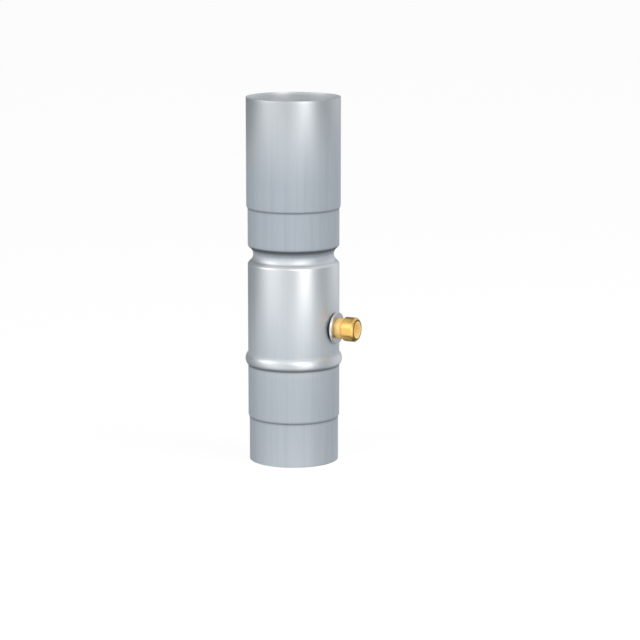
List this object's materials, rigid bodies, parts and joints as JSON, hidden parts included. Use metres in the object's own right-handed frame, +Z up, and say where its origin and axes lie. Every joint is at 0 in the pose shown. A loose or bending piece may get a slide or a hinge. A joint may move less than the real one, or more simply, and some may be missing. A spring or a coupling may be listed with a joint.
{
  "type": "rainwater diverter",
  "caption": "Downpipe collector with a formed socket and spigot, a ring channel behind a drip waist, and a brass side outlet for a hose.",
  "frame": {"origin": "on the pipe's axis, at the lower end of the spigot", "axes": "+Z up along the pipe's axis, towards the socket; +X along the axis of the side outlet"},
  "size_m": [0.1297, 0.106, 0.4],
  "materials": {
    "zinc_sheet": "bright rolled zinc with fine marks along the pipe",
    "turned_brass": "turned and lightly polished",
    "plated_washer": "bright plated",
    "black_rubber": "matte moulded"
  },
  "bodies": {
    "root": {"collector_housing": "zinc_sheet", "overflow_tube": "zinc_sheet", "outlet_nipple": "turned_brass", "outlet_washer": "plated_washer", "outlet_gasket": "black_rubber", "lock_nut": "turned_brass"}
  },
  "joints": []
}
